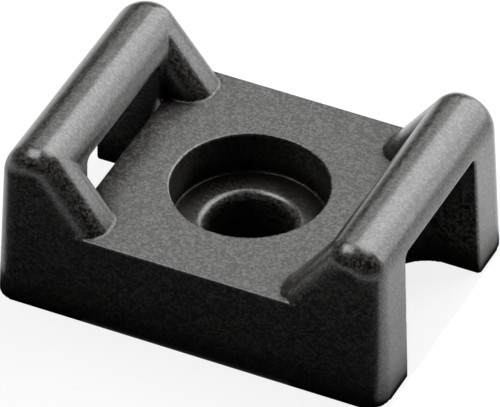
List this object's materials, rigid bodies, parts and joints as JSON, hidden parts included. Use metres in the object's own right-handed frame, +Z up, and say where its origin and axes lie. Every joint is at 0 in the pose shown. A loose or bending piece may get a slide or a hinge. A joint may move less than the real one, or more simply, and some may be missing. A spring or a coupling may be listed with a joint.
{
  "type": "cable tie mount",
  "caption": "Screw-down saddle mount for cable ties: a low block with a counterbored screw hole and a raised bridge over a tie slot at each end.",
  "frame": {"origin": "on the base, where the screw hole's axis meets it", "axes": "+X along the mount from bridge to bridge, +Y across it, +Z up out of the screw hole"},
  "size_m": [0.0224, 0.016, 0.0097],
  "materials": {
    "black_nylon": "satin moulded black nylon with a fine grain"
  },
  "bodies": {
    "root": {"tie_mount_body": "black_nylon"}
  },
  "joints": []
}
